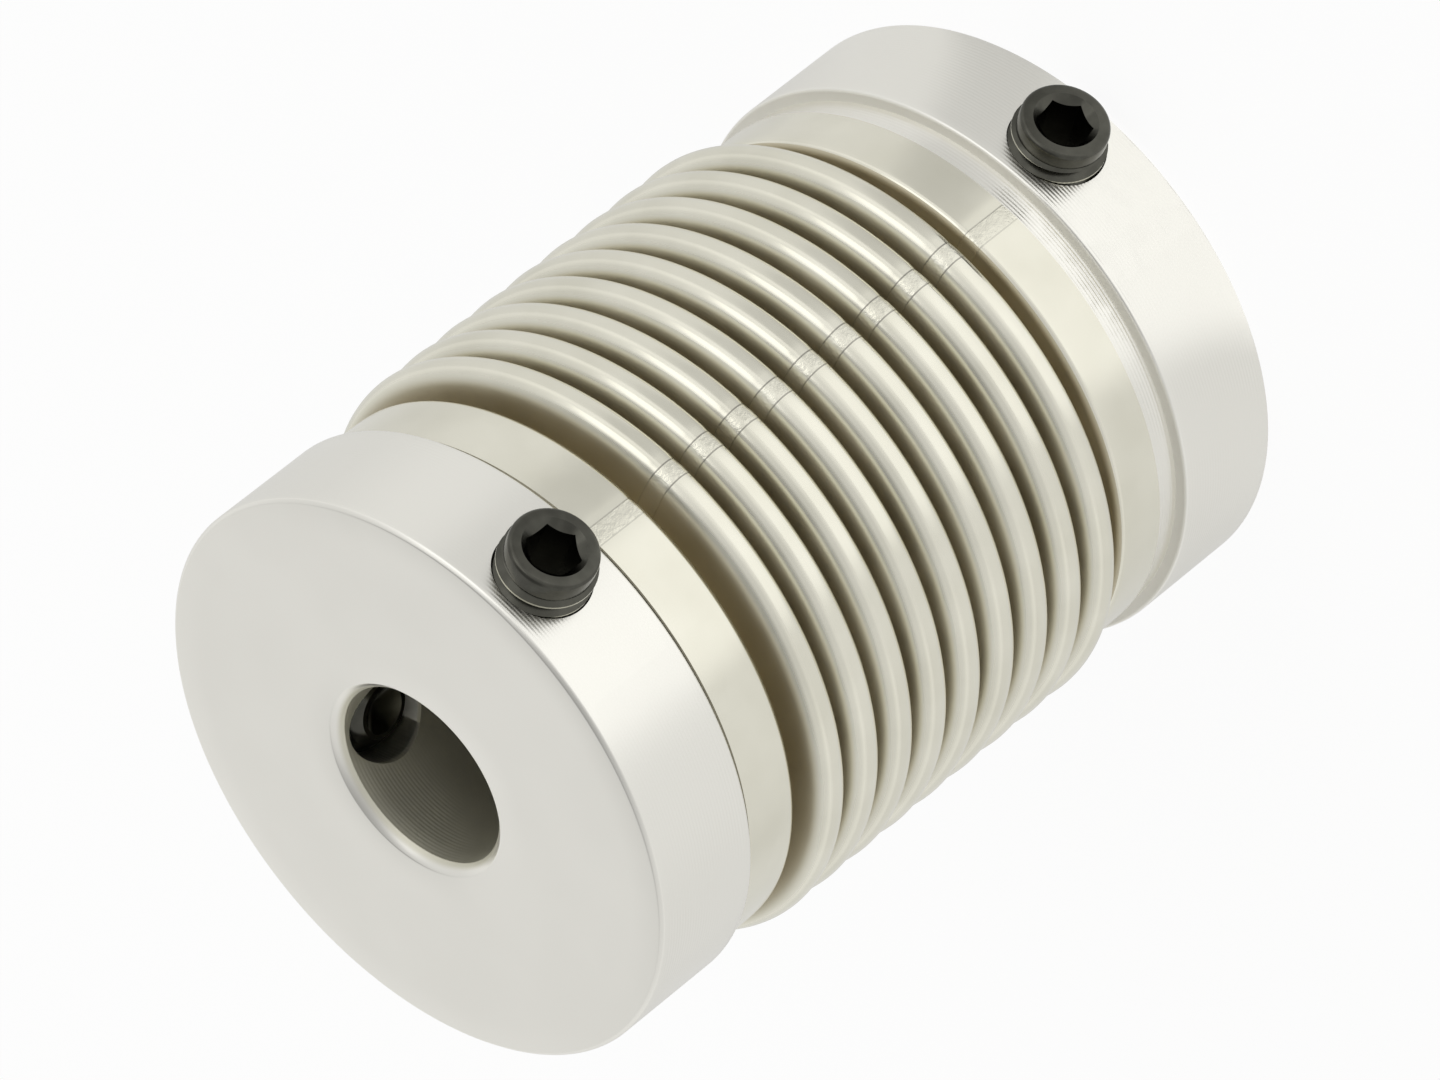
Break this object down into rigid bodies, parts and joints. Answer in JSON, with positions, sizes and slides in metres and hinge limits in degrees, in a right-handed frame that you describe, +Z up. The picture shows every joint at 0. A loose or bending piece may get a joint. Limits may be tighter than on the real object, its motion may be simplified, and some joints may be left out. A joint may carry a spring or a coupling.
{
  "type": "bellows coupling",
  "caption": "Metal bellows shaft coupling: two round aluminium hubs with set screws, joined by a thin-walled convoluted steel bellows; takes up angular and parallel shaft misalignment.",
  "frame": {"origin": "centre of the lower hub's end face, 0.3 mm below where the wall of lower_bore starts above its chamfer", "axes": "+Z up along the shaft axis, towards the upper hub; -Y is the way the upper hub's front set screw points"},
  "size_m": [0.0194, 0.0205, 0.0276],
  "materials": {
    "hub_aluminium": "fine-turned, clear, satin",
    "bellows_steel": "rolled and formed stainless sheet, warm satin",
    "screw_steel": "black oxide, oiled"
  },
  "bodies": {
    "lower_hub": {"lower_hub": "hub_aluminium"},
    "bellows": {"bellows": "bellows_steel"},
    "upper_hub": {"upper_hub": "hub_aluminium"},
    "lower_screw_front": {"lower_screw_front": "screw_steel"},
    "lower_screw_back": {"lower_screw_back": "screw_steel"},
    "upper_screw_front": {"upper_screw_front": "screw_steel"},
    "upper_screw_back": {"upper_screw_back": "screw_steel"}
  },
  "joints": [
    {"name": "lower_bend", "type": "hinge", "parent": "lower_hub", "child": "bellows", "pos_m": [0, 0, 0.01019], "axis": [1, 0, 0], "range_deg": [-2, 2], "stiffness_Nm_per_rad": 1.3, "deforming": ["bellows"]},
    {"name": "upper_bend", "type": "hinge", "parent": "bellows", "child": "upper_hub", "pos_m": [0, 0, 0.01775], "axis": [1, 0, 0], "range_deg": [-2, 2], "stiffness_Nm_per_rad": 1.3, "deforming": ["bellows"]},
    {"name": "lower_front_screw_travel", "type": "slide", "parent": "lower_hub", "child": "lower_screw_front", "axis": [0.0663, -0.9978, 0], "range_m": [-0.0021, 0.002]},
    {"name": "lower_back_screw_travel", "type": "slide", "parent": "lower_hub", "child": "lower_screw_back", "axis": [0.831, 0.5563, 0], "range_m": [-0.00053, 0.002]},
    {"name": "upper_front_screw_travel", "type": "slide", "parent": "upper_hub", "child": "upper_screw_front", "axis": [0, -1, 0], "range_m": [-0.00233, 0.002]},
    {"name": "upper_back_screw_travel", "type": "slide", "parent": "upper_hub", "child": "upper_screw_back", "axis": [0.866, 0.5, 0], "range_m": [-0.00053, 0.002]}
  ]
}
